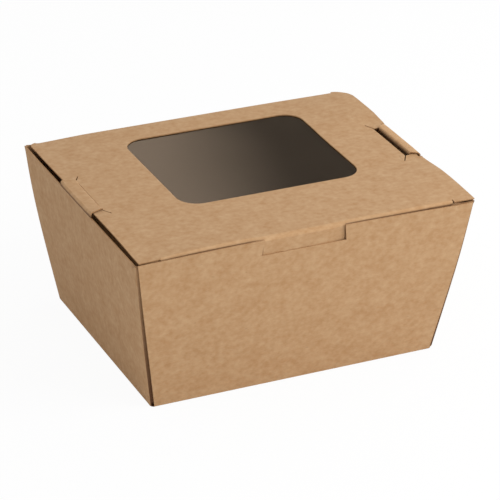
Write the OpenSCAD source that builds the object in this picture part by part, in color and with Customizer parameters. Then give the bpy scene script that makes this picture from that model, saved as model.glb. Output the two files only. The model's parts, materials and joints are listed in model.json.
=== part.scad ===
// Kraft takeout container with a window lid: one folded card sheet, a clear
// film under the window, and two side tongues that hold the lid down.
// The origin is the middle of the base, on the surface that the box stands on.
// +X runs to the right along the front, +Y to the hinge at the back, +Z up.

/* [Card] */
// Thickness of the kraft card
card = 0.5; // [0.35:0.05:0.7]

/* [Tray] */
// Length of the tray over its side walls, at their top edges
top_length = 150; // [140:1:200]
// Depth of the tray over its front and back walls, at their top edges
top_depth = 121; // [112:1:160]
// Length of the base
base_length = 128.5; // [110:0.5:136]
// Depth of the base
base_depth = 102; // [85:0.5:108]
// Height of the front and side walls
wall_height = 70; // [50:1:90]
// Width of the glue flaps that the side walls turn inside the front and back walls
glue_flap = 16; // [8:1:20]
// Height left free between a glue flap and the base
glue_flap_lift = 1; // [0.5:0.5:3]
// Distance from a glue flap's end up to the wall's top edge
glue_flap_drop = 3; // [1:0.5:8]
// How deep the glued faces sink into each other
glue_bite = 0.05; // [0.02:0.01:0.1]
// How far the front and back walls' cut edges stop short of the corner folds
corner_step = 0.9; // [0.7:0.1:2]

/* [Front notch] */
// Length of the thumb notch along the front wall's top edge
notch_length = 37; // [20:1:60]
// How far each end of the notch leans in towards its foot
notch_lean = 0.5; // [0:0.5:3]
// Depth of the notch below the front wall's top edge
notch_depth = 7; // [4:0.5:12]
// Distance of the notch from the middle of the front wall
notch_offset = -1.5; // [-6:0.5:6]

/* [Lid] */
// How much shorter the lid is than the tray's top
lid_trim = 1.4; // [1:0.2:4]
// How far the closed lid has slipped to the right
lid_shift = 0.9; // [0:0.1:1.2]
// Daylight between the walls' top edges and the lid
lid_gap = 1.2; // [0.8:0.1:2]
// Radius of the lid's corners at the hinge
lid_corner = 5; // [2:0.5:8]
// Distance from each side edge of the lid to the end of the tuck flap
flap_end = 9.5; // [6:0.5:16]
// Depth of the tuck flap, down the inside of the front wall
flap_depth = 20; // [12:1:26]
// Size of the cut-off lower corners of the tuck flap
flap_corner = 8; // [2:1:10]
// Clearance between the tuck flap and the glue flaps
flap_gap = 0.3; // [0.2:0.1:0.8]
// Width of the relief cut at each end of the front fold
relief_width = 0.7; // [0.4:0.1:1.2]
// Length of the relief cut into the lid
relief_length = 2.2; // [1:0.2:4]

/* [Window] */
// Length of the window in the lid
window_length = 81.6; // [50:0.2:88]
// Depth of the window
window_depth = 67.8; // [40:0.2:70]
// Radius of the window's corners
window_corner = 9; // [4:0.5:14]
// Distance from the lid's right edge to the window
window_right = 30.8; // [26:0.2:36]
// Distance from the hinge fold to the window
window_back = 14; // [11:0.5:20]
// Width of the glued rim of the film around the window
film_rim = 7; // [4:0.5:9]
// Thickness of the film
film_thickness = 0.1; // [0.05:0.05:0.2]

/* [Tongues] */
// Width of a tongue where it enters its slit
tongue_tip = 28; // [20:0.5:36]
// How much wider a tongue is on each side where it leaves the side wall
tongue_flare = 2.5; // [0.5:0.5:5]
// Distance of the tongues behind the middle of the side walls
tongue_offset = 3.2; // [-6:0.1:6]
// How far a tongue's tip reaches below the lid
tip_reach = 3.4; // [2:0.1:4]
// Clearance between a tongue and the lid that it holds
tongue_clearance = 0.3; // [0.2:0.05:0.5]
// Distance from each side edge of the lid to the middle of its slit
slit_inset = 4.7; // [4.5:0.1:8]
// Width of a slit that a tongue has opened
slit_opening = 1.9; // [1.7:0.1:2.6]
// Clearance between a tongue's tip and the slit's outer edge
tip_clearance = 0.4; // [0.3:0.05:0.6]
// Clearance at each end of a slit
slit_end_clearance = 0.8; // [0.5:0.1:2]
// Length of the slanted cut at each end of a slit
slit_tail = 4.5; // [2:0.5:8]
// Width of the slanted cuts
slit_tail_width = 0.8; // [0.4:0.1:1.2]
// Slant of those cuts from the slit, towards the window
slit_tail_angle = 32; // [10:1:60]

/* [Hidden] */
$fn = 48;

// Outward run of the leaning walls for each millimetre of height
side_run = (top_length - base_length) / 2 / wall_height;
front_run = (top_depth - base_depth) / 2 / wall_height;
// Thickness of the leaning card, measured level
side_card = card / cos(atan(side_run));
front_card = card / cos(atan(front_run));
// Cutting shapes reach this far past what they cut
past = 1;
// Longer than the box in any direction
reach = 2 * top_length;

lid_length = top_length - lid_trim;
lid_under = wall_height + lid_gap;
lid_top = lid_under + card;
lid_left = lid_shift - lid_length / 2;
lid_right = lid_shift + lid_length / 2;
// The tuck flap hangs inside the glue flaps, so the front fold lies behind both layers
flap_inset = 2 * front_card + flap_gap;
lid_front = flap_inset - half_depth(lid_top);
window_x = lid_right - window_right - window_length / 2;
window_y = half_depth(lid_top) - window_back - window_depth / 2;
flap_length = lid_length - 2 * flap_end;
tongue_root = tongue_tip + 2 * tongue_flare;
kraft = "#bd9a72";

// Half the outer length and half the outer depth of the tray at a height
function half_length(height) = base_length / 2 + side_run * height;
function half_depth(height) = base_depth / 2 + front_run * height;

// Middle of a slit; side is -1 on the left and 1 on the right
function slit_x(side) = lid_shift + side * (lid_length / 2 - slit_inset);
// Distance from a side wall's outer top edge to the inner face of its tongue's tip
function tongue_span(side) =
    top_length / 2 - side * slit_x(side) - slit_opening / 2 + tip_clearance + card;

// Everything between the two leaning side faces, each moved inwards
module between_sides(inset, low, high) {
    rotate([90, 0, 0])
        linear_extrude(reach, center = true)
            polygon([
                [inset - half_length(low), low],
                [half_length(low) - inset, low],
                [half_length(high) - inset, high],
                [inset - half_length(high), high]
            ]);
}

// Everything between the leaning front and back faces, each moved inwards
module between_front_and_back(inset, low, high) {
    rotate([90, 0, 90])
        linear_extrude(reach, center = true)
            polygon([
                [inset - half_depth(low), low],
                [half_depth(low) - inset, low],
                [half_depth(high) - inset, high],
                [inset - half_depth(high), high]
            ]);
}

// One sheet of card lying against the inside of the front and back faces
module front_and_back_sheets(inset, low, high) {
    difference() {
        between_front_and_back(inset, low, high);
        between_front_and_back(inset + front_card, low - past, high + past);
    }
}

// Rectangle with rounded corners, about its middle
module rounded_rectangle(length, depth, radius) {
    square([length - 2 * radius, depth], center = true);
    square([length, depth - 2 * radius], center = true);
    for (x = [-1, 1], y = [-1, 1])
        translate([x * (length / 2 - radius), y * (depth / 2 - radius)])
            circle(radius);
}

// Base and four walls; the glue flaps tie the front and back walls to the side walls
module tray() {
    intersection() {
        between_sides(0, 0, card);
        between_front_and_back(0, 0, card);
    }
    side_walls();
    front_and_back_walls();
    glue_flaps();
}

// The side walls reach from corner fold to corner fold, inside the front and back walls
module side_walls() {
    intersection() {
        difference() {
            between_sides(0, 0, wall_height);
            between_sides(side_card, -past, wall_height + past);
        }
        between_front_and_back(front_card, 0, wall_height);
    }
}

// The front and back walls lie over the glue flaps and stop short of the corner folds;
// the middle of the back wall rises past the side walls to the hinge fold
module front_and_back_walls() {
    hinge_length = lid_length - 2 * lid_corner;
    difference() {
        intersection() {
            front_and_back_sheets(0, 0, lid_top);
            union() {
                between_sides(corner_step, 0, wall_height);
                translate([lid_shift - hinge_length / 2, 0, wall_height - past])
                    cube([hinge_length, reach, reach]);
            }
        }
        thumb_notch();
    }
}

// Flaps of the side walls, glued to the inside of the front and back walls
module glue_flaps() {
    low = card + glue_flap_lift;
    high = wall_height - glue_flap_drop;
    intersection() {
        difference() {
            between_front_and_back(front_card - glue_bite, low, high);
            between_front_and_back(2 * front_card, low - past, high + past);
        }
        difference() {
            between_sides(side_card / 2, low - past, high + past);
            between_sides(side_card + glue_flap, low - 2 * past, high + 2 * past);
        }
    }
}

// Shallow notch in the front wall's top edge, for lifting the lid
module thumb_notch() {
    foot = wall_height - notch_depth;
    translate([notch_offset, -half_depth(foot) / 2, 0])
        rotate([90, 0, 0])
            linear_extrude(half_depth(foot))
                polygon([
                    [notch_lean - notch_length / 2, foot],
                    [notch_length / 2 - notch_lean, foot],
                    [notch_length / 2, wall_height],
                    [notch_length / 2, wall_height + past],
                    [-notch_length / 2, wall_height + past],
                    [-notch_length / 2, wall_height]
                ]);
}

// The lid with its window, slits and relief cuts
module lid_panel() {
    depth = half_depth(lid_top) - lid_front;
    intersection() {
        translate([0, 0, lid_under])
            linear_extrude(card)
                difference() {
                    lid_outline(depth);
                    translate([window_x, window_y])
                        rounded_rectangle(window_length, window_depth, window_corner);
                    for (side = [-1, 1]) {
                        slit(side);
                        tongue_recess(side);
                        relief_cut(side);
                    }
                }
        between_front_and_back(0, 0, lid_top);
    }
}

// Square at the front fold and rounded at the hinge
module lid_outline(depth) {
    translate([lid_left, lid_front])
        square([lid_length, depth - lid_corner]);
    translate([lid_left + lid_corner, lid_front])
        square([lid_length - 2 * lid_corner, depth]);
    for (x = [lid_left + lid_corner, lid_right - lid_corner])
        translate([x, lid_front + depth - lid_corner])
            circle(lid_corner);
}

// A tongue's slit: straight, with a slanted cut at each end
module slit(side) {
    length = tongue_tip + 2 * slit_end_clearance;
    translate([slit_x(side), tongue_offset]) {
        square([slit_opening, length], center = true);
        for (end = [-1, 1])
            translate([side * (slit_tail_width - slit_opening) / 2, end * length / 2])
                rotate(end * side * slit_tail_angle)
                    translate([-slit_tail_width / 2, end > 0 ? -slit_tail_width : -slit_tail])
                        square([slit_tail_width, slit_tail + slit_tail_width]);
    }
}

// The lid's edge is cut back where a tongue rises past it
module tongue_recess(side) {
    edge = top_length / 2 - card - 3 * tongue_clearance;
    width = tongue_root + 2 * slit_end_clearance;
    translate([side > 0 ? edge : -edge - reach, tongue_offset - width / 2])
        square([reach, width]);
}

// Short cut at an end of the front fold, which lets the lid's edge lie flat
module relief_cut(side) {
    translate([lid_shift + side * (flap_length + relief_width) / 2, lid_front + relief_length / 2])
        square([relief_width, relief_length + past], center = true);
}

// The flap that tucks down behind the front wall
module tuck_flap() {
    low = lid_top - flap_depth;
    half = flap_length / 2;
    intersection() {
        front_and_back_sheets(flap_inset, low - past, lid_top);
        translate([lid_shift, 0, 0])
            rotate([90, 0, 0])
                linear_extrude(reach)
                    polygon([
                        [-half, lid_top + past],
                        [-half, low + flap_corner],
                        [flap_corner - half, low],
                        [half - flap_corner, low],
                        [half, low + flap_corner],
                        [half, lid_top + past]
                    ]);
    }
}

module carton() {
    color(kraft) {
        tray();
        lid_panel();
        tuck_flap();
    }
}

// Clear film, glued under the lid around the window
module window_film() {
    rim = 2 * film_rim;
    color("lightgray", 0.4)
        translate([window_x, window_y, lid_under - film_thickness])
            linear_extrude(film_thickness)
                rounded_rectangle(window_length + rim, window_depth + rim, window_corner);
}

// Up from the side wall's top edge, over the lid and down into its slit
module tongue(side) {
    span = tongue_span(side);
    over = lid_gap + card + tongue_clearance;
    tip = lid_gap - tip_reach;
    mirror([side > 0 ? 1 : 0, 0, 0])
        translate([-top_length / 2, tongue_offset, wall_height])
            intersection() {
                rotate([90, 0, 0])
                    linear_extrude(tongue_root, center = true)
                        polygon([
                            [0, 0],
                            [card, 0],
                            [card, over],
                            [span - card, over],
                            [span - card, tip],
                            [span, tip],
                            [span, over + card],
                            [0, over + card]
                        ]);
                translate([0, 0, tip - past])
                    linear_extrude(over + card - tip + 2 * past)
                        polygon([
                            [0, -tongue_root / 2],
                            [card, -tongue_root / 2],
                            [span - card, -tongue_tip / 2],
                            [span, -tongue_tip / 2],
                            [span, tongue_tip / 2],
                            [span - card, tongue_tip / 2],
                            [card, tongue_root / 2],
                            [0, tongue_root / 2]
                        ]);
            }
}

module left_tongue() {
    color(kraft)
        tongue(-1);
}

module right_tongue() {
    color(kraft)
        tongue(1);
}

carton();
window_film();
left_tongue();
right_tongue();
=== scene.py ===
# %% [markdown]
# A kraft takeout box, made the way a box maker makes it.
# A real one starts as one flat sheet of card. A die cuts its outline, its window and
# its slits, a blunt rule presses the creases, and a machine folds and glues it.
# This lesson does the same in Blender: lay out the blank, cut it, fold it, round the
# creases, let the panels bow a little, and only then give the sheet its thickness.
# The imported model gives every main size, so the dressed box stays where the solids are.

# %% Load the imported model
import json
import math

import bmesh
import bpy
from mathutils import Matrix, Vector, noise


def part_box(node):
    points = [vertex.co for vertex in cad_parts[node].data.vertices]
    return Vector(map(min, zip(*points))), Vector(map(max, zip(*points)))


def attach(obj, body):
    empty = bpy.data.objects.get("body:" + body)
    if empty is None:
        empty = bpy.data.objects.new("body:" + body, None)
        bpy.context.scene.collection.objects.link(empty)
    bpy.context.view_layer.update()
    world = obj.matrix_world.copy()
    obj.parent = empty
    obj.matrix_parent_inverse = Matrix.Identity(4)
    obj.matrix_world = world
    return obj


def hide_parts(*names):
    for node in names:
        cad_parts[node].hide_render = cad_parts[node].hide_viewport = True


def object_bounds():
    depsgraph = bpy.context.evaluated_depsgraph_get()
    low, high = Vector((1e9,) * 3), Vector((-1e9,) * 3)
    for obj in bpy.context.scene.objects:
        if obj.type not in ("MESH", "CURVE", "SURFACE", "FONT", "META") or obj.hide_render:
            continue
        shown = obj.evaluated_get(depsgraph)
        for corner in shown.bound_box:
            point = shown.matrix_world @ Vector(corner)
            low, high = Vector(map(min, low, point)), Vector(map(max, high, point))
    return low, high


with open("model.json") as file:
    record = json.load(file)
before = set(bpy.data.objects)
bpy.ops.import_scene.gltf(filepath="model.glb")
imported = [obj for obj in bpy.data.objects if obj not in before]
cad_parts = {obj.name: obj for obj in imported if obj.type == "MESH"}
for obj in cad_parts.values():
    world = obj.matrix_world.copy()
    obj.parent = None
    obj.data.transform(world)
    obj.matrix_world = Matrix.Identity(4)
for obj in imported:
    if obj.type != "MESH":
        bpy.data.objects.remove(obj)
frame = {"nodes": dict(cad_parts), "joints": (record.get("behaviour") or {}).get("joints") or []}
cad_low, cad_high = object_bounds()
print("model box in mm:", [round(1000 * side) for side in cad_high - cad_low])

# %% [markdown]
# Sizes. The solids hold the outer faces of the box, so the sizes are read from them:
# the tongues' fold lines give the tray's top, the lowest ring of points gives the base,
# and the highest gives the lid. Only what the solids can't tell is written here in mm.

# %% Sizes of the tray and the lid
MM = 0.001
joints = {joint["name"]: Vector(joint["pos_m"]) for joint in frame["joints"]}
fold_line = joints["right_tongue_fold"]
top_length = 2 * fold_line.x
wall_height = fold_line.z
tongue_y = fold_line.y


def ring(node, height):
    """Lowest and highest corner of a node's points at one height."""
    points = [v.co for v in frame["nodes"][node].data.vertices if abs(v.co.z - height) < 0.01 * MM]
    low = Vector([min(p[axis] for p in points) for axis in range(3)])
    high = Vector([max(p[axis] for p in points) for axis in range(3)])
    return low, high


base_low, base_high = ring("carton", 0)
rim_low, rim_high = ring("carton", wall_height)
lid_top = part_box("carton")[1].z
lid_low, lid_high = ring("carton", lid_top)
base_length = base_high.x - base_low.x
base_depth = base_high.y - base_low.y
top_depth = -2 * rim_low.y
card = 0.5 * MM
print("base, rim and lid in mm:", [round(1000 * s, 1) for s in (base_length, base_depth, top_depth, lid_top)])

# %% The lean of the walls
side_run = (top_length - base_length) / 2 / wall_height
front_run = (top_depth - base_depth) / 2 / wall_height
side_lean = math.atan(side_run)
front_lean = math.atan(front_run)
side_slant = wall_height / math.cos(side_lean)
front_slant = wall_height / math.cos(front_lean)
hinge_slant = lid_top / math.cos(front_lean)
level_card = card / math.cos(front_lean)
print("walls lean by", round(math.degrees(side_lean), 1), "and", round(math.degrees(front_lean), 1), "degrees")

# %% [markdown]
# The camera comes next, so that every later step can be looked at. It stands to the
# left of the box and above it, far away with a long lens, which keeps the edges nearly
# parallel as in a product photograph.

# %% Camera
VIEW_AZIMUTH = math.radians(-25.37)
VIEW_ELEVATION = math.radians(26.9)
VIEW_ROLL = math.radians(1.28)
VIEW_DISTANCE = 1134.3 * MM
VIEW_TARGET = Vector((0, 0, 35 * MM))
back = Vector((
    math.sin(VIEW_AZIMUTH) * math.cos(VIEW_ELEVATION),
    -math.cos(VIEW_AZIMUTH) * math.cos(VIEW_ELEVATION),
    math.sin(VIEW_ELEVATION),
))
across = Matrix.Rotation(VIEW_ROLL, 3, back) @ Vector((math.cos(VIEW_AZIMUTH), math.sin(VIEW_AZIMUTH), 0))
camera = bpy.data.objects.new("camera", bpy.data.cameras.new("camera"))
camera.matrix_world = Matrix.Translation(VIEW_TARGET + VIEW_DISTANCE * back) @ (
    Matrix((across, back.cross(across), back)).transposed().to_4x4()
)
camera.data.lens = 193.65
camera.data.shift_x = 0.0109
camera.data.shift_y = -0.0004
bpy.context.scene.collection.objects.link(camera)
bpy.context.scene.camera = camera
bpy.context.scene.view_settings.view_transform = "Standard"
print("camera at", [round(c, 3) for c in camera.matrix_world.translation])

# %% [markdown]
# The blank. Each panel of the flat sheet is one face with a few corners, seen from the
# side that ends up inside the box. The base is in the middle, the walls lie around it,
# and the lid and its tuck flap follow the back wall. Panels that share a crease share
# its two corners. A face layer keeps the panel's number, and a layer on the points
# keeps the flat place, from which the card's grain is drawn later.

# %% Numbers of the panels and details of the blank
BASE, FRONT, BACK, STRIP, LID, TUCK, LEFT, RIGHT = range(8)
GLUE_FLAPS = {(-1, -1): 8, (-1, 1): 9, (1, -1): 10, (1, 1): 11}
CORNER_NICK = Vector((1.5, 1.5)) * MM
CORNER_STEP_TOP = 0.9 * MM
GLUE_FLAP_WIDTH = 16 * MM
GLUE_FLAP_LOW = 1.5 * MM
GLUE_FLAP_HIGH = 67 * MM
GLUE_FLAP_TAPER = math.radians(20)
SHOULDER = 9.3 * MM
GLUE_LINE = 0.03 * MM
HINGE_CORNERS = {-1: 3 * MM, 1: 6 * MM}
FLAP_END = 9.5 * MM
FLAP_DEPTH = 20 * MM
FLAP_CORNER = 8 * MM
hinge_y = base_depth / 2 + hinge_slant
tuck_y = hinge_y + lid_high.y - lid_low.y
flap_left = lid_low.x + FLAP_END
flap_right = lid_high.x - FLAP_END
# A front glue flap reaches the rim, a back one ends below it
taper = GLUE_FLAP_WIDTH * math.tan(GLUE_FLAP_TAPER)
flap_tops = {-1: wall_height - GLUE_LINE, 1: GLUE_FLAP_HIGH}
top_drops = {-1: 0.0, 1: taper * SHOULDER / GLUE_FLAP_WIDTH}
# The side walls end at the inner faces of the front and back walls
side_half = base_depth / 2 - level_card - GLUE_LINE


def side_point(side, end, height, beyond=0, along=0):
    """A point on a side wall's slanted edge, moved out over the glue flap and along the edge."""
    edge = Vector((side_slant, wall_height * front_run)).normalized()
    start = Vector((base_length / 2 + side_slant * height / wall_height, side_half + front_run * height))
    point = start + along * edge + beyond * Vector((-edge.y, edge.x))
    return Vector((side * point.x, end * point.y))


# %% Lay out the blank
def lay(blank, number, corners):
    """Adds one panel to the blank, with its outer side down."""
    points = [blank.verts.new((corner[0], corner[1], 0)) for corner in corners]
    panel = blank.faces.new(points)
    panel.normal_update()
    if panel.normal.z > 0:
        panel.normal_flip()
    panel[blank.faces.layers.int["panel"]] = number
    return panel


blank = bmesh.new()
blank.faces.layers.int.new("panel")
blank.faces.layers.float.new("fold")
blank.verts.layers.float.new("painted_shade")
half_base = Vector((base_length, base_depth)) / 2
nick = half_base - CORNER_NICK
lay(blank, BASE, [
    (-half_base.x, -nick.y), (-nick.x, -half_base.y), (nick.x, -half_base.y), (half_base.x, -nick.y),
    (half_base.x, nick.y), (nick.x, half_base.y), (-nick.x, half_base.y), (-half_base.x, nick.y),
])
wall_end = top_length / 2 - CORNER_STEP_TOP
rim_y = half_base.y + front_slant
lay(blank, FRONT, [(-nick.x, -half_base.y), (nick.x, -half_base.y), (wall_end, -rim_y), (-wall_end, -rim_y)])
hinge_left = lid_low.x + HINGE_CORNERS[-1]
hinge_right = lid_high.x - HINGE_CORNERS[1]
lay(blank, BACK, [
    (-nick.x, half_base.y), (nick.x, half_base.y), (wall_end, rim_y),
    (hinge_right, rim_y), (hinge_left, rim_y), (-wall_end, rim_y),
])
lay(blank, STRIP, [(hinge_left, rim_y), (hinge_right, rim_y), (hinge_right, hinge_y), (hinge_left, hinge_y)])
for side, number in ((-1, LEFT), (1, RIGHT)):
    lay(blank, number, [
        (side * half_base.x, -nick.y), (side * half_base.x, nick.y),
        side_point(side, 1, GLUE_FLAP_LOW), side_point(side, 1, flap_tops[1]), side_point(side, 1, wall_height),
        side_point(side, -1, wall_height), side_point(side, -1, flap_tops[-1]), side_point(side, -1, GLUE_FLAP_LOW),
    ])
for (side, end), number in GLUE_FLAPS.items():
    lay(blank, number, [
        side_point(side, end, GLUE_FLAP_LOW),
        side_point(side, end, GLUE_FLAP_LOW, GLUE_FLAP_WIDTH, taper),
        side_point(side, end, flap_tops[end], GLUE_FLAP_WIDTH, -taper),
        side_point(side, end, flap_tops[end], SHOULDER, -top_drops[end]),
        side_point(side, end, flap_tops[end]),
    ])
lay(blank, LID, [
    (hinge_left, hinge_y), (hinge_right, hinge_y), (lid_high.x, hinge_y), (lid_high.x, tuck_y),
    (flap_right, tuck_y), (flap_left, tuck_y), (lid_low.x, tuck_y), (lid_low.x, hinge_y),
])
flap_y = tuck_y + FLAP_DEPTH / math.cos(front_lean)
lay(blank, TUCK, [
    (flap_left, tuck_y), (flap_right, tuck_y), (flap_right, flap_y - FLAP_CORNER),
    (flap_right - FLAP_CORNER, flap_y), (flap_left + FLAP_CORNER, flap_y), (flap_left, flap_y - FLAP_CORNER),
])
for side, edge in ((-1, lid_low.x), (1, lid_high.x)):
    corner = [v for v in blank.verts if (v.co.xy - Vector((edge, hinge_y))).length < card]
    bmesh.ops.bevel(
        blank, geom=corner, offset=HINGE_CORNERS[side], offset_type="OFFSET", segments=6,
        profile=0.5, affect="VERTICES", clamp_overlap=False, material=-1,
    )
bmesh.ops.remove_doubles(blank, verts=blank.verts[:], dist=0.01 * MM)
print("blank:", len(blank.faces), "panels,", len(blank.verts), "corners")

# %% [markdown]
# The cuts. A steel die has a shape for each opening: the window with its round corners,
# the two slits with a slanted tail at each end, the thumb notch, the places where the
# tongues pass the lid, and a short relief cut at each end of the front crease.
# Each die here is a small flat shape. The blank is bisected along its edges, and the
# faces inside fall out. Straight cuts around the die come first, so that the slanted
# and curved ones stay inside that small frame.


# %% A die and the cut that it makes
def die(length, depth, centre, radius=0, turn=0, flare=0):
    """A flat rectangle, with round corners or a wider far side if asked."""
    shape = bmesh.new()
    bmesh.ops.create_grid(shape, x_segments=1, y_segments=1, size=0.5)
    bmesh.ops.scale(shape, vec=(length, depth, 1), verts=shape.verts[:])
    for corner in shape.verts:
        if corner.co.y > 0:
            corner.co.x += flare if corner.co.x > 0 else -flare
    if radius:
        bmesh.ops.bevel(
            shape, geom=shape.verts[:], offset=radius, offset_type="OFFSET", segments=8,
            profile=0.5, affect="VERTICES", material=-1,
        )
    bmesh.ops.rotate(shape, cent=(0, 0, 0), matrix=Matrix.Rotation(turn, 3, "Z"), verts=shape.verts[:])
    bmesh.ops.translate(shape, vec=(centre[0], centre[1], 0), verts=shape.verts[:])
    return shape


def slice_faces(sheet, low, high, point, normal):
    """Cuts the sheet's faces that lie over a rectangle along one line."""
    slack = 0.001 * MM
    over = [
        f for f in sheet.faces
        if all(
            min(v.co[i] for v in f.verts) < high[i] - slack and max(v.co[i] for v in f.verts) > low[i] + slack
            for i in (0, 1)
        )
    ]
    edges = {e for f in over for e in f.edges}
    points = {v for f in over for v in f.verts}
    bmesh.ops.bisect_plane(
        sheet, geom=over + list(edges) + list(points), dist=slack, plane_co=point, plane_no=normal,
    )


def cut_out(sheet, shape):
    """Cuts a die's shape out of the sheet and drops what falls out."""
    corners = [v.co.copy() for v in shape.faces[:][0].verts]
    shape.free()
    low = Vector([min(c[i] for c in corners) for i in range(3)])
    high = Vector([max(c[i] for c in corners) for i in range(3)])
    for point, normal in ((low, (1, 0, 0)), (high, (1, 0, 0)), (low, (0, 1, 0)), (high, (0, 1, 0))):
        slice_faces(sheet, low, high, point, normal)
    sides = [
        (corner, (corners[(i + 1) % len(corners)] - corner).cross((0, 0, 1)).normalized())
        for i, corner in enumerate(corners)
    ]
    for point, normal in sides:
        slice_faces(sheet, low, high, point, normal)
    inside = [
        f for f in sheet.faces
        if all((f.calc_center_median() - point).dot(normal) < 0 for point, normal in sides)
    ]
    bmesh.ops.delete(sheet, geom=inside, context="FACES")
    return len(inside)


# %% Cut the blank
FILM_RIM = 7 * MM
WINDOW_CORNER = 9 * MM
NOTCH = Vector((35.8, 7)) * MM
NOTCH_X = -1.4 * MM
NOTCH_FLARE = 0.9 * MM
TIP_WIDTH = 28 * MM
SLIT_LENGTH = TIP_WIDTH + 1.6 * MM
SLIT_TAIL = Vector((0.45, 4.2)) * MM
SLIT_TAIL_TURN = math.radians(32)
RECESS_WIDTH = 34.6 * MM
RECESS_EDGE = 1.4 * MM
RELIEFS = {-1: Vector((0.2, 1.0)) * MM, 1: Vector((0.4, 2.0)) * MM}
film_low, film_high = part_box("window_film")
window_low = film_low.xy + Vector((FILM_RIM, FILM_RIM))
window_high = film_high.xy - Vector((FILM_RIM, FILM_RIM))


def lid_y(y):
    """Where a point of the closed lid lies on the blank."""
    return hinge_y + lid_high.y - y


window_middle = (window_low + window_high) / 2
fallen = cut_out(blank, die(
    window_high.x - window_low.x, window_high.y - window_low.y,
    (window_middle.x, lid_y(window_middle.y)), radius=WINDOW_CORNER,
))
# The notch's rectangle reaches past the wall's free edge, so its width is right at the edge
fallen += cut_out(blank, die(NOTCH.x, NOTCH.y, (NOTCH_X, NOTCH.y / 2 - rim_y), flare=NOTCH_FLARE))
tips = {-1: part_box("left_tongue")[1].x, 1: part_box("right_tongue")[0].x}
for side in (-1, 1):
    # The left tongue's spring closes its slit, and the right one's is pulled open
    inner = abs(tips[side]) - (0.03 * MM if side < 0 else 2.1 * MM)
    outer = abs(tips[side]) + card + 0.3 * MM
    fallen += cut_out(blank, die(outer - inner, SLIT_LENGTH, (side * (inner + outer) / 2, lid_y(tongue_y))))
    for end in (-1, 1):
        turn = end * side * SLIT_TAIL_TURN
        reach = Matrix.Rotation(turn, 2) @ Vector((0, end * SLIT_TAIL.y / 2))
        corner = Vector((side * (inner + SLIT_TAIL.x / 2), lid_y(tongue_y) + end * SLIT_LENGTH / 2))
        fallen += cut_out(blank, die(SLIT_TAIL.x, SLIT_TAIL.y + SLIT_TAIL.x, corner + reach, turn=turn))
    recess_x = side * (top_length / 2 - RECESS_EDGE + 2 * MM)
    fallen += cut_out(blank, die(4 * MM, RECESS_WIDTH, (recess_x, lid_y(tongue_y))))
    flap_edge = flap_right if side > 0 else flap_left
    relief = RELIEFS[side]
    fallen += cut_out(blank, die(
        relief.x, relief.y, (flap_edge + side * relief.x / 2, tuck_y - relief.y / 2),
    ))
print("cut out:", fallen, "pieces; the blank has", len(blank.faces), "faces")

# %% [markdown]
# The folds. A fold turns everything beyond a crease about that crease. The outermost
# creases go first, while the panels that carry them still lie flat: the glue flaps and
# the tuck flap, then the lid, and the walls at the end. The walls lean, so a wall
# turns a little less than a right angle, and the lid a little more.

# %% Keep the flat place of every point as a map, in decimetres
grain_map = blank.loops.layers.uv.new("blank")
for face in blank.faces:
    for loop in face.loops:
        loop[grain_map].uv = 10 * loop.vert.co.xy
flat = [Vector([pick(v.co[axis] for v in blank.verts) for axis in (0, 1)]) for pick in (min, max)]
flat_area = sum(face.calc_area() for face in blank.faces)
print("flat blank in mm:", [round(1000 * s, 1) for s in flat[1] - flat[0]], "area in cm2:", round(1e4 * flat_area))


# %% Fold the blank
def fold(sheet, panels, point, outward, angle):
    """Turns the panels up about a crease through a point; outward points from the crease over them."""
    layer = sheet.faces.layers.int["panel"]
    moving = {v for f in sheet.faces if f[layer] in panels for v in f.verts}
    axis = Vector((outward[0], outward[1], 0)).cross((0, 0, 1))
    bmesh.ops.rotate(
        sheet, cent=(point[0], point[1], 0), matrix=Matrix.Rotation(angle, 3, axis), verts=list(moving),
    )


flap_turn = math.acos(math.sin(side_lean) * math.sin(front_lean))
for (side, end), number in GLUE_FLAPS.items():
    crease = side_point(side, end, 0)
    outward = (side_point(side, end, 0, 1) - crease).normalized()
    fold(blank, {number}, crease, outward, flap_turn)
fold(blank, {TUCK}, (0, tuck_y), (0, 1), math.pi / 2 + front_lean)
fold(blank, {LID, TUCK}, (0, hinge_y), (0, 1), math.pi / 2 + front_lean)
fold(blank, {BACK, STRIP, LID, TUCK}, (0, half_base.y), (0, 1), math.pi / 2 - front_lean)
fold(blank, {FRONT}, (0, -half_base.y), (0, -1), math.pi / 2 - front_lean)
fold(blank, {LEFT, GLUE_FLAPS[-1, -1], GLUE_FLAPS[-1, 1]}, (-half_base.x, 0), (-1, 0), math.pi / 2 - side_lean)
fold(blank, {RIGHT, GLUE_FLAPS[1, -1], GLUE_FLAPS[1, 1]}, (half_base.x, 0), (1, 0), math.pi / 2 - side_lean)
print("folded height in mm:", round(1000 * max(v.co.z for v in blank.verts), 2))

# %% [markdown]
# The creases. Card doesn't fold to a knife edge: the outer ply runs round a radius of
# one to three card thicknesses. The bevel cuts the sharp edge back by the radius times
# the tangent of half the turn, which is where such an arc meets the two flat panels.
# The new faces are marked, because the pressed fibres of a crease are paler.


# %% Round the creases
def round_creases(sheet, radius, chosen):
    """Rounds the folded edges between panels that the test picks."""
    creases = [
        e for e in sheet.edges
        if len(e.link_faces) == 2 and e.calc_face_angle() > 1 and chosen(sum((v.co for v in e.verts), Vector()) / 2)
    ]
    turn = creases[0].calc_face_angle()
    rounded = bmesh.ops.bevel(
        sheet, geom=creases, offset=radius * math.tan(turn / 2), offset_type="OFFSET", segments=5,
        profile=0.5, affect="EDGES", clamp_overlap=False, material=-1,
    )
    for strip in rounded["faces"]:
        strip[sheet.faces.layers.float["fold"]] = 1
    return len(rounded["faces"])


strips = round_creases(blank, 1.5 * MM, lambda p: p.z > lid_top - MM and p.y < 0)
strips += round_creases(blank, 1.0 * MM, lambda p: p.z > lid_top - MM and p.y > 0)
strips += round_creases(blank, 0.6 * MM, lambda p: p.z < MM)
strips += round_creases(blank, 0.55 * MM, lambda p: True)
print("creases rounded with", strips, "strips")

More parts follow.
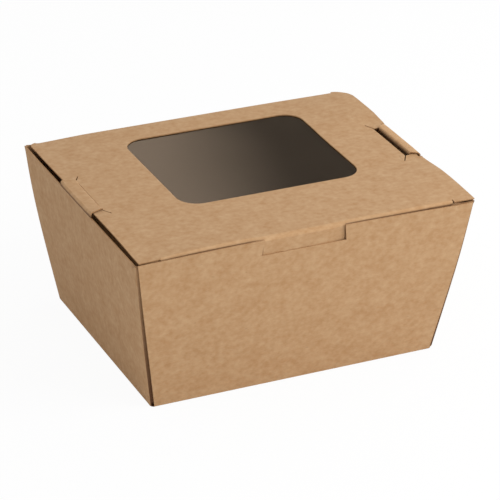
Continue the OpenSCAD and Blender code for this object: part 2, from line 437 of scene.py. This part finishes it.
# %% [markdown]
# The bow of the panels. Card never stays flat: it is bent over its creases, the lid's
# free edges spring up between the points that hold them, and the walls swell a little.
# The panels first need points to bend with, so planes 5 mm apart slice the whole sheet.
# Then one smooth function of the place moves every point, so nothing tears.

# %% Slice the panels
SLICE = 5 * MM


def slice_panels(sheet, low, high):
    """Cuts a sheet by planes a few millimetres apart along each axis."""
    for axis in range(3):
        count = int((high[axis] - low[axis]) / SLICE)
        for step in range(1, count):
            place = low[axis] + (high[axis] - low[axis]) * step / count
            normal = Vector((axis == 0, axis == 1, axis == 2))
            bmesh.ops.bisect_plane(
                sheet, geom=sheet.faces[:] + sheet.edges[:] + sheet.verts[:], dist=0.02 * MM,
                plane_co=normal * place, plane_no=normal,
            )


for place in (NOTCH_X - NOTCH.x / 2, NOTCH_X + NOTCH.x / 2):
    for past in (0, math.copysign(0.4 * MM, place)):
        slice_faces(blank, cad_low, cad_high, (place + past, 0, 0), (1, 0, 0))
slice_panels(blank, cad_low, cad_high)
print("sliced into", len(blank.faces), "faces")

# %% Bow the panels
WALL_SWELL = 0.5 * MM
BACK_LEFT_SWELL = 0.8 * MM
BACK_LEFT_FLARE = 0.7 * MM
FRONT_BOW = 1.2 * MM
FRONT_RISE = (0.4 * MM, 0.4 * MM)
HINGE_END_LIFT = 1.5 * MM
FRONT_END_LIFT = 0.9 * MM
LEFT_DROOP = 0.4 * MM
HINGE_CORNER_DROP = 0.25 * MM
FRONT_END_DIP = 0.6 * MM
FRONT_LEFT_DROP = 0.7 * MM
FRONT_RIGHT_DROP = 0.2 * MM
RIGHT_CORNER_RISE = 1.0 * MM
BACK_LEFT_RISE = 0.9 * MM
TONGUE_PRESS = {-1: 0.55 * MM, 1: -0.45 * MM}
PRESS_REACH = {-1: SLIT_LENGTH / 2, 1: 18.5 * MM}
FLAP_PRESS = (0.1 * MM, 0.74 * MM)
NOTCH_END_GAP = 0.5 * MM
EDGE_SPRING = 0.5 * MM
WAVE = 0.12 * MM


def hump(value, start, end):
    """Rises from 0 at start to 1 halfway and falls to 0 at end."""
    share = (value - start) / (end - start)
    return math.sin(math.pi * share) ** 2 if 0 < share < 1 else 0.0


def ramp(value, start, end):
    """Smooth step from 0 at start to 1 at end."""
    share = min(1.0, max(0.0, (value - start) / (end - start)))
    return share * share * (3 - 2 * share)


def arch(value, start, end):
    """Rises from 0 at start to 1 halfway and falls to 0 at end, straight away at both."""
    share = (value - start) / (end - start)
    return math.sin(math.pi * share) if 0 < share < 1 else 0.0


def pressed(x, y):
    """How far down a tongue presses the lid's strip between its slit and the edge."""
    side = 1 if x > 0 else -1
    beyond = abs(x) - abs(tips[side])
    if beyond < 0:
        return 0.0
    tilt = 1.0 if side < 0 else ramp(beyond, 0, 3 * MM)
    return TONGUE_PRESS[side] * tilt * ramp(PRESS_REACH[side] - abs(y - tongue_y), 0, 3.5 * MM)


def lid_lift(x, y):
    """How far the lid springs up, or droops, at a place."""
    right = ramp(x, 30 * MM, 74 * MM)
    left = ramp(-x, 45 * MM, 73 * MM)
    behind_tongue = ramp(lid_high.y - y, MM, 12 * MM) * ramp(y - tongue_y, 13 * MM, 30 * MM)
    before_tongue = arch(y, lid_low.y - 8 * MM, tongue_y - 16 * MM)
    lift = right * (HINGE_END_LIFT * behind_tongue + FRONT_END_LIFT * before_tongue)
    ahead_of_tongue = tongue_y - y
    beside_tongue = ramp(ahead_of_tongue, 15.5 * MM, 18.5 * MM) * ramp(-ahead_of_tongue, -36 * MM, -20 * MM)
    lift -= right * FRONT_END_DIP * beside_tongue
    lift -= left * LEFT_DROOP * ramp(y, tongue_y + 12 * MM, lid_high.y - 15 * MM)
    lift -= (right + left) * HINGE_CORNER_DROP * ramp(y, lid_high.y - 10 * MM, lid_high.y)
    ahead = ramp(-y, -lid_low.y - 26 * MM, -lid_low.y - MM)
    lift -= ahead * (left * FRONT_LEFT_DROP + right * FRONT_RIGHT_DROP)
    waves = hump(y, lid_low.y, lid_high.y) * WAVE * noise.noise(Vector((x, y, 0)) / (35 * MM))
    return lift + waves - pressed(x, y)


def bowed(point):
    """Where a point of the straight box lies on the bowed one."""
    moved = point.copy()
    middle = arch(point.x, -top_length / 2, top_length / 2)
    behind = top_depth / 2 - (wall_height - point.z) * front_run + point.y
    if point.z > lid_top - 1.2 * MM:
        moved.z += lid_lift(point.x, point.y)
    else:
        height = point.z / wall_height
        swell = math.sin(math.pi * min(1.0, height))
        outward = Vector((point.x / (top_length / 2), point.y / (top_depth / 2)))
        wave = WAVE * swell * noise.noise(point / (30 * MM))
        moved.x += outward.x ** 3 * swell * WALL_SWELL + wave * outward.x
        moved.y += outward.y ** 3 * swell * WALL_SWELL + wave * outward.y
        back_left = ramp(-outward.x, 0.5, 1) * ramp(outward.y, 0.3, 1)
        moved.x -= back_left * swell * BACK_LEFT_SWELL
        back_left = ramp(-outward.x, 0.8, 1) * ramp(outward.y, 0.6, 1)
        moved.x -= back_left * ramp(height, 0.4, 1) * BACK_LEFT_FLARE
    if behind > 2 * card and point.z > lid_top - 21 * MM:
        front = ramp(-point.y, lid_high.y / 2, -lid_low.y) * ramp(58 * MM - abs(point.x), 0, 12 * MM)
        shown = ramp(NOTCH.x / 2 + 5 * MM - abs(point.x - NOTCH_X), 0, 5 * MM)
        notch_end = NOTCH_X + NOTCH.x / 2
        recedes = ramp(point.x, notch_end - 6 * MM, notch_end - MM)
        moved.y -= front * (FLAP_PRESS[0] + shown * (FLAP_PRESS[1] - recedes * NOTCH_END_GAP))
    if behind < card:
        free = ramp(-point.x, half_base.x - 6 * MM, half_base.x - MM) * arch(point.z, 0, wall_height)
        moved.y -= free * EDGE_SPRING
        moved.z += ramp(point.z, 45 * MM, wall_height) * (FRONT_RISE[0] + middle * FRONT_RISE[1])
    if point.z < wall_height + 0.1 * MM:
        near_rim = ramp(point.z, 45 * MM, wall_height)
        front_right = ramp(point.x, 66 * MM, 74 * MM) * ramp(-point.y, 40 * MM, 58 * MM)
        back_left = ramp(-point.x, 66 * MM, 74 * MM) * ramp(point.y, 40 * MM, 58 * MM)
        moved.z += near_rim * front_right * RIGHT_CORNER_RISE * (0.3 if behind < card else 1.0)
        moved.z += near_rim * back_left * BACK_LEFT_RISE
    moved.y += FRONT_BOW * middle * ramp(point.z, 20 * MM, wall_height) * ramp(-point.y, 30 * MM, 55 * MM)
    return moved


# %% [markdown]
# The seams. Where a cut edge lies close on another panel, the narrow strip of card in
# between gets little light, and that shade is painted into its colour as a darker brown:
# at the upright corners, on the tuck flap just under the front wall's edge, and on the
# glue flap that shows in the front corners. Each point keeps how deep it lies in such a
# seam, before the bow moves it, because the straight box is easy to measure.

# %% Mark the painted shade in the seams
def mark_painted_shade(sheet, depth_of):
    """Keeps on each point how much painted shade it gets, from 0 to 1, by how deep it lies in a seam."""
    layer = sheet.verts.layers.float["painted_shade"]
    for corner in sheet.verts:
        corner[layer] = depth_of(corner)


def corner_painted_shade(corner):
    """Painted shade on card in a narrow crevice: the tuck flap under the front wall's edge, the glue flap at the
    front rim, and the strip between a wall's cut edge and the corner fold.
    """
    x, y, z = corner.co
    beside = base_length / 2 + z * side_run - abs(x)
    under = base_depth / 2 + z * front_run - abs(y)
    if y < 0 and z > wall_height - 6 * MM and 1.5 * card < under < 6 * MM and beside > 9 * MM:
        beside_notch = ramp(abs(x - NOTCH_X), NOTCH.x / 2, NOTCH.x / 2 + 0.4 * MM)
        return 0.75 * beside_notch * ramp(lid_top - z, 0.6 * MM, 1.2 * MM)
    if y < 0 and 0.9 * card < under < 1.4 * card and z > wall_height - 0.6 * MM:
        return 0.55
    if not (0.3 * card < under < 2 * card and z < wall_height - MM and beside < 20 * MM):
        return 0.0
    return ramp(beside, 0, 0.2 * MM) * (1 - 0.65 * z / wall_height)


mark_painted_shade(blank, corner_painted_shade)

# %% Bow the blank
for corner in blank.verts:
    corner.co = bowed(corner.co)
print("bowed top in mm:", round(1000 * max(v.co.z for v in blank.verts), 2))

# %% [markdown]
# The finish of kraft board. It is unbleached wood pulp: tan, matt, with a soft cloudiness
# from the way the pulp settles, fine fibres that lie mostly along the blank, and a few
# dark shives. All of it is drawn from the flat map, so the grain runs level
# on the front and upright on the side walls, as on a box folded from one sheet.


# %% Helpers for materials
def linear(code):
    """An sRGB hex colour as linear RGBA."""
    channels = [int(code[i:i + 2], 16) / 255 for i in (1, 3, 5)]
    return [c / 12.92 if c <= 0.04045 else ((c + 0.055) / 1.055) ** 2.4 for c in channels] + [1.0]


def add(tree, kind, inputs=None, **settings):
    """Adds a node with its settings; an input is a value or another node's socket."""
    made = tree.nodes.new(kind)
    for name, value in settings.items():
        setattr(made, name, value)
    for name, value in (inputs or {}).items():
        if isinstance(value, bpy.types.NodeSocket):
            tree.links.new(value, made.inputs[name])
        else:
            made.inputs[name].default_value = value
    return made


def per_map(size_mm):
    """Scale of a pattern whose features are this large, on a map in decimetres."""
    return 100 / size_mm


def new_material(name):
    """An empty material with its output."""
    made = bpy.data.materials.new(name)
    made.use_nodes = True
    made.node_tree.nodes.clear()
    return made, made.node_tree, add(made.node_tree, "ShaderNodeOutputMaterial")


# %% Kraft board
CLOUD, FLOC, FIBRE = 0.35, 0.45, 0.2
PULP_SPREAD = 0.27
# Painted shade: the dark brown that card deep in a crevice is drawn with
PAINTED_SHADE_BROWN = "#4e2c12"


def kraft_board(name, dark_pulp, pale_pulp, crease_and_highlight_paler):
    """Unbleached kraft: cloudy pulp, level fibres, a few shives, soft bump."""
    made, tree, output = new_material(name)
    place = add(tree, "ShaderNodeUVMap", uv_map="blank").outputs["UV"]
    spread = add(tree, "ShaderNodeMapping", {"Vector": place, "Scale": (0.85, 1, 1)}).outputs["Vector"]
    along = add(tree, "ShaderNodeMapping", {"Vector": place, "Scale": (0.35, 1, 1)}).outputs["Vector"]
    cloud = add(tree, "ShaderNodeTexNoise", {"Vector": place, "Scale": per_map(8), "Detail": 2.0})
    floc = add(tree, "ShaderNodeTexNoise", {"Vector": spread, "Scale": per_map(2.2), "Detail": 1.5})
    fibre = add(tree, "ShaderNodeTexNoise", {"Vector": along, "Scale": per_map(0.5), "Detail": 2.0})
    shive = add(tree, "ShaderNodeTexNoise", {"Vector": along, "Scale": per_map(1.0), "Detail": 1.0, "W": 3.0},
                noise_dimensions="4D")
    pulp = 0.0
    for source, amount in ((cloud, CLOUD), (floc, FLOC), (fibre, FIBRE)):
        pulp = add(tree, "ShaderNodeMath", {0: source.outputs["Fac"], 1: amount, 2: pulp},
                   operation="MULTIPLY_ADD").outputs[0]
    pulp = add(tree, "ShaderNodeMapRange", {
        "Value": pulp, "From Min": 0.5 - PULP_SPREAD, "From Max": 0.5 + PULP_SPREAD,
    }).outputs["Result"]
    tint = add(tree, "ShaderNodeMix", {"Factor": pulp, 6: linear(dark_pulp), 7: linear(pale_pulp)},
               data_type="RGBA").outputs[2]
    dark = add(tree, "ShaderNodeMapRange", {
        "Value": shive.outputs["Fac"], "From Min": 0.70, "From Max": 0.80, "To Min": 1.0, "To Max": 0.82,
    }).outputs["Result"]
    # Crease strips are paler for their pressed fibres; the right tongue is paler all over, a painted highlight
    crease_and_painted_highlight = add(tree, "ShaderNodeAttribute", attribute_name="fold").outputs["Fac"]
    paler_creases_and_highlight = add(tree, "ShaderNodeMath", {0: crease_and_painted_highlight, 1: crease_and_highlight_paler, 2: 1.0}, operation="MULTIPLY_ADD").outputs[0]
    shade = add(tree, "ShaderNodeMath", {0: dark, 1: paler_creases_and_highlight}, operation="MULTIPLY").outputs[0]
    tint = add(tree, "ShaderNodeVectorMath", {0: tint, "Scale": shade}, operation="SCALE").outputs["Vector"]
    # Painted shade: card deep in a crevice is mixed towards dark brown
    painted_shade = add(tree, "ShaderNodeAttribute", attribute_name="painted_shade").outputs["Fac"]
    tint = add(tree, "ShaderNodeMix", {"Factor": painted_shade, 6: tint, 7: linear(PAINTED_SHADE_BROWN)}, data_type="RGBA").outputs[2]
    bump = add(tree, "ShaderNodeBump", {"Height": fibre.outputs["Fac"], "Strength": 0.25, "Distance": 0.1 * MM})
    shader = add(tree, "ShaderNodeBsdfPrincipled", {
        "Base Color": tint, "Roughness": 0.82, "Specular IOR Level": 0.3, "Normal": bump.outputs["Normal"],
    })
    tree.links.new(shader.outputs["BSDF"], output.inputs["Surface"])
    return made


kraft = kraft_board("kraft board", "#a67b50", "#c4a27c", 0.1)
# The cut edges are a darker brown: partly the card's own cut fibres, partly painted shade for edges that lie in
# shadow
cut_edge = kraft_board("cut kraft edge", "#9b7049", "#b08a62", 0.0)
print("materials:", kraft.name, "and", cut_edge.name)

# %% [markdown]
# The window film is thin clear plastic. Light passes through it, and a share that grows
# at grazing angles bounces off like off glass. It is drawn as a mirror that a Fresnel
# factor mixes with plain transparency, so that lamps light the inside of the box.


# %% Clear film
def clear_film(name):
    """Glossy clear film: mirror-like where Fresnel says, see-through elsewhere."""
    made, tree, output = new_material(name)
    edge = add(tree, "ShaderNodeFresnel", {"IOR": 1.5})
    clear = add(tree, "ShaderNodeBsdfTransparent", {"Color": linear("#ece9e4")})
    gloss = add(tree, "ShaderNodeBsdfPrincipled", {
        "Base Color": linear("#f4f2ee"), "Metallic": 1.0, "Roughness": 0.06,
    })
    mixed = add(tree, "ShaderNodeMixShader", {
        0: edge.outputs["Fac"], 1: clear.outputs["BSDF"], 2: gloss.outputs["BSDF"],
    })
    tree.links.new(mixed.outputs["Shader"], output.inputs["Surface"])
    return made


film_finish = clear_film("clear plastic film")
print("material:", film_finish.name)

# %% [markdown]
# Thickness. The folded sheet so far is only the outer face of the card. Solidify grows
# it inwards by the card's thickness and gives the rims the finish of a cut edge. The
# result is written back as a plain mesh, with sharp edges wherever two faces meet at
# more than 35 degrees, so the cut edges stay crisp and the rounded creases smooth.


# %% Make a piece from a sheet
def make_piece(name, sheet, thickness, finishes, rim):
    """Gives a sheet its thickness inwards and its finishes, as one plain mesh."""
    mesh = bpy.data.meshes.new(name)
    sheet.to_mesh(mesh)
    sheet.free()
    piece = bpy.data.objects.new(name, mesh)
    bpy.context.scene.collection.objects.link(piece)
    for finish in finishes:
        mesh.materials.append(finish)
    solid = piece.modifiers.new("thickness", "SOLIDIFY")
    solid.thickness = thickness
    solid.offset = -1
    solid.use_even_offset = False
    solid.material_offset_rim = rim
    seen = bpy.context.evaluated_depsgraph_get()
    thick = bpy.data.meshes.new_from_object(piece.evaluated_get(seen))
    piece.modifiers.clear()
    piece.data = thick
    bpy.data.meshes.remove(mesh)
    thick.name = name
    thick.shade_smooth()
    thick.set_sharp_from_angle(angle=math.radians(35))
    print(name, "has", len(thick.polygons), "faces")
    return piece


carton = make_piece("folded_carton", blank, card, [kraft, cut_edge], 1)
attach(carton, "box")
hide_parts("carton")

# %% [markdown]
# The film is a rounded rectangle under the lid, glued along its rim. It follows the
# lid's bow, and sags a little in the middle of the window.

# %% Window film
FILM_THICKNESS = film_high.z - film_low.z
FILM_SAG = 0.15 * MM
FILM_WAVE = 0.02 * MM
film_sheet = die(
    film_high.x - film_low.x, film_high.y - film_low.y,
    (film_low.xy + film_high.xy) / 2, radius=WINDOW_CORNER,
)
bmesh.ops.translate(film_sheet, vec=(0, 0, film_high.z), verts=film_sheet.verts[:])
slice_panels(film_sheet, film_low, film_high)
for corner in film_sheet.verts:
    across_x = hump(corner.co.x, window_low.x, window_high.x)
    across_y = hump(corner.co.y, window_low.y, window_high.y)
    lift = bowed(Vector((corner.co.x, corner.co.y, lid_top))).z - lid_top
    ripple = FILM_WAVE * noise.noise(corner.co / (16 * MM))
    corner.co.z += lift - (FILM_SAG + ripple) * across_x * across_y - GLUE_LINE
film = make_piece("clear_window", film_sheet, FILM_THICKNESS, [film_finish], 0)
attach(film, "box")
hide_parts("window_film")

# %% [markdown]
# The tongues. Each is cut with its side wall, rises from the wall's top edge, bends over
# the lid and goes down into its slit. It is made like the carton: a flat strip of three
# panels, two folds, round creases, thickness. Both are made by one function, and each
# has its own length and faces its own side. The right tip leans outwards
# under the lid's strip, as a hooked tongue does, so its slit stands open and dark.

# %% Tongues
TIP_CORNER = 1.2 * MM
TIP_REACH = 1.9 * MM
TONGUE_LIFT = {-1: 0.3 * MM, 1: 0.05 * MM}
TIP_BENDS = {-1: 0.6 * MM, 1: 0.8 * MM}
TIP_LEANS = {-1: 0.0, 1: math.radians(22)}
# Painted highlight: how much paler the whole right tongue is drawn, for its bend that catches the light
RIGHT_TONGUE_PAINTED_HIGHLIGHT = 1.3


def tongue_root_painted_shade(place):
    """Painted shade along the root fold, strongest on the fold itself."""
    if place.z < 0.05 * MM:
        return 0.9
    return 0.35 if place.z < 1.4 * MM and place.x > -0.05 * MM else 0.0


def make_tongue(side, node, body, name):
    """Strip of card from the wall's top edge over the lid and down through the slit."""
    low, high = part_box(node)
    span = high.x - low.x
    rise = lid_top + TONGUE_LIFT[side] + card - wall_height
    drop = card + TONGUE_LIFT[side] + card + TIP_REACH
    root_width = high.y - low.y
    strip = bmesh.new()
    strip.faces.layers.int.new("panel")
    strip.faces.layers.float.new("fold")
    strip.verts.layers.float.new("painted_shade")
    root, tip = root_width / 2, TIP_WIDTH / 2
    lay(strip, 0, [(0, -root), (rise, -root), (rise, root), (0, root)])
    lay(strip, 1, [(rise, -root), (rise + span, -tip), (rise + span, tip), (rise, root)])
    end = rise + span + drop
    print(name, "is flat", round(1000 * end, 1), "mm long and", round(1000 * root_width, 1), "mm wide")
    lay(strip, 2, [
        (rise + span, -tip), (end - TIP_CORNER, -tip), (end, TIP_CORNER - tip),
        (end, tip - TIP_CORNER), (end - TIP_CORNER, tip), (rise + span, tip),
    ])
    bmesh.ops.remove_doubles(strip, verts=strip.verts[:], dist=0.01 * MM)
    flat = strip.loops.layers.uv.new("blank")
    for face in strip.faces:
        for loop in face.loops:
            loop[flat].uv = 10 * (loop.vert.co.xy + Vector((base_length / 2 + side_slant, tongue_y)))
    fold(strip, {2}, (rise + span, 0), (1, 0), math.pi / 2 + TIP_LEANS[side])
    fold(strip, {1, 2}, (rise, 0), (1, 0), math.pi / 2)
    fold(strip, {0, 1, 2}, (0, 0), (1, 0), math.pi / 2)
    round_creases(strip, 1.1 * MM, lambda p: abs(p.x) < 0.1 * span)
    round_creases(strip, TIP_BENDS[side], lambda p: True)
    # Painted highlight: the right tongue's whole strip is made paler through the fold layer
    if side > 0:
        for face in strip.faces:
            face[strip.faces.layers.float["fold"]] = RIGHT_TONGUE_PAINTED_HIGHLIGHT
    # Painted shade along the tongue's root fold
    mark_painted_shade(strip, lambda corner: tongue_root_painted_shade(corner.co))
    slice_panels(strip, Vector((-span, -root, 0)), Vector((span, root, rise)))
    turn = Matrix.Rotation(0 if side > 0 else math.pi, 3, "Z")
    bmesh.ops.rotate(strip, cent=(0, 0, 0), matrix=turn, verts=strip.verts[:])
    bmesh.ops.translate(strip, vec=(side * top_length / 2, tongue_y, wall_height), verts=strip.verts[:])
    for corner in strip.verts:
        above = ramp(corner.co.z, wall_height, lid_top)
        corner.co.z -= above * pressed(side * top_length, corner.co.y)
    piece = make_piece(name, strip, card, [kraft, cut_edge], 1)
    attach(piece, body)
    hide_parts(node)


make_tongue(-1, "left_tongue", "left_flap", "bent_left_tongue")
make_tongue(1, "right_tongue", "right_flap", "bent_right_tongue")

# %% [markdown]
# The studio. A pale floor, a soft white surround, one large soft lamp from the front,
# the right and above, and a weak one at the right. Rays from the camera see the
# surround as plain white, and so do reflections.

# %% Floor and surround
FLOOR_SIZE = 6.0
FLOOR_WHITE = 0.94
floor_shape = bmesh.new()
bmesh.ops.create_grid(floor_shape, x_segments=1, y_segments=1, size=FLOOR_SIZE / 2)
floor_mesh = bpy.data.meshes.new("floor")
floor_shape.to_mesh(floor_mesh)
floor_shape.free()
floor = bpy.data.objects.new("floor", floor_mesh)
bpy.context.scene.collection.objects.link(floor)
paper, paper_tree, paper_output = new_material("white backdrop paper")
diffuse = add(paper_tree, "ShaderNodeBsdfDiffuse", {"Color": linear("#f4f4f4")})
glow = add(paper_tree, "ShaderNodeEmission", {"Color": (1, 1, 1, 1), "Strength": 1.0})
path = add(paper_tree, "ShaderNodeLightPath")
share = add(paper_tree, "ShaderNodeMath", {0: path.outputs["Is Camera Ray"], 1: FLOOR_WHITE}, operation="MULTIPLY")
paper_mix = add(paper_tree, "ShaderNodeMixShader", {
    0: share.outputs[0], 1: diffuse.outputs["BSDF"], 2: glow.outputs["Emission"],
})
paper_tree.links.new(paper_mix.outputs["Shader"], paper_output.inputs["Surface"])
floor_mesh.materials.append(paper)

SURROUND_LIGHT = 0.68
world = bpy.data.worlds.new("surround")
world.use_nodes = True
world.node_tree.nodes.clear()
world_output = add(world.node_tree, "ShaderNodeOutputWorld")
rays = add(world.node_tree, "ShaderNodeLightPath")
seen_rays = add(world.node_tree, "ShaderNodeMath", {
    0: rays.outputs["Is Camera Ray"], 1: rays.outputs["Is Glossy Ray"],
}, operation="MAXIMUM")
seen_rays = add(world.node_tree, "ShaderNodeMath", {
    0: seen_rays.outputs[0], 1: rays.outputs["Is Transmission Ray"],
}, operation="MAXIMUM")
strength = add(world.node_tree, "ShaderNodeMapRange", {
    "Value": seen_rays.outputs[0], "To Min": SURROUND_LIGHT, "To Max": 1.0,
})
backdrop = add(world.node_tree, "ShaderNodeBackground", {
    "Color": (1, 1, 1, 1), "Strength": strength.outputs["Result"],
})
world.node_tree.links.new(backdrop.outputs["Background"], world_output.inputs["Surface"])
bpy.context.scene.world = world
print("floor and surround are ready")


# %% Lamp
def soft_lamp(name, direction, distance, size, power):
    """A large square lamp that looks at the box."""
    lamp = bpy.data.lights.new(name, "AREA")
    lamp.shape = "SQUARE"
    lamp.size = size
    lamp.energy = power
    holder = bpy.data.objects.new(name, lamp)
    aim = Vector(direction).normalized()
    holder.matrix_world = Matrix.Translation(VIEW_TARGET + distance * aim) @ (
        aim.to_track_quat("Z", "Y").to_matrix().to_4x4()
    )
    bpy.context.scene.collection.objects.link(holder)
    return holder


key = soft_lamp("key lamp", (0.55, -0.56, 0.6), 0.68, 0.45, 2.6)
soft_lamp("side lamp", (0.8, 0.35, 0.42), 0.42, 0.25, 0.2)
print("key lamp at", [round(c, 2) for c in key.matrix_world.translation])

# %% [markdown]
# The film is a mirror at this low angle, so what stands behind the box decides how it
# looks. A photographer puts a card there that runs from white to dark. This one glows
# from bright to dim instead of being lit: only reflections see it, so the floor doesn't
# show it and it casts no shadow. Its bright side shows in the left of the window, its dark side in the right.

# %% Glowing card that the film mirrors
FLAG_FADE = (-0.013, 0.079)
FLAG_GLOW = (1.64, 0.36)
flag_shape = bmesh.new()
bmesh.ops.create_grid(flag_shape, x_segments=1, y_segments=1, size=0.5)
bmesh.ops.scale(flag_shape, vec=(0.9, 0.7, 1), verts=flag_shape.verts[:])
bmesh.ops.rotate(flag_shape, cent=(0, 0, 0), matrix=Matrix.Rotation(math.pi / 2, 3, "X"), verts=flag_shape.verts[:])
bmesh.ops.translate(flag_shape, vec=(0.3, 0.45, 0.36), verts=flag_shape.verts[:])
flag_mesh = bpy.data.meshes.new("glowing card for reflections")
flag_shape.to_mesh(flag_mesh)
flag_shape.free()
flag = bpy.data.objects.new("glowing card for reflections", flag_mesh)
bpy.context.scene.collection.objects.link(flag)
flag_finish, flag_tree, flag_output = new_material("glowing card, white to dark")
flag_place = add(flag_tree, "ShaderNodeTexCoord").outputs["Object"]
flag_slope = add(
    flag_tree, "ShaderNodeVectorMath", {0: flag_place, 1: (1, 0, -0.55)}, operation="DOT_PRODUCT",
).outputs["Value"]
fade = add(flag_tree, "ShaderNodeMapRange", {
    "Value": flag_slope, "From Min": FLAG_FADE[0], "From Max": FLAG_FADE[1],
    "To Min": FLAG_GLOW[0], "To Max": FLAG_GLOW[1],
}, interpolation_type="SMOOTHSTEP").outputs["Result"]
flag_glow = add(flag_tree, "ShaderNodeEmission", {"Color": linear("#ffe4ca"), "Strength": fade})
flag_tree.links.new(flag_glow.outputs["Emission"], flag_output.inputs["Surface"])
flag_mesh.materials.append(flag_finish)
for kind in ("camera", "diffuse", "transmission", "volume_scatter", "shadow"):
    setattr(flag, "visible_" + kind, False)
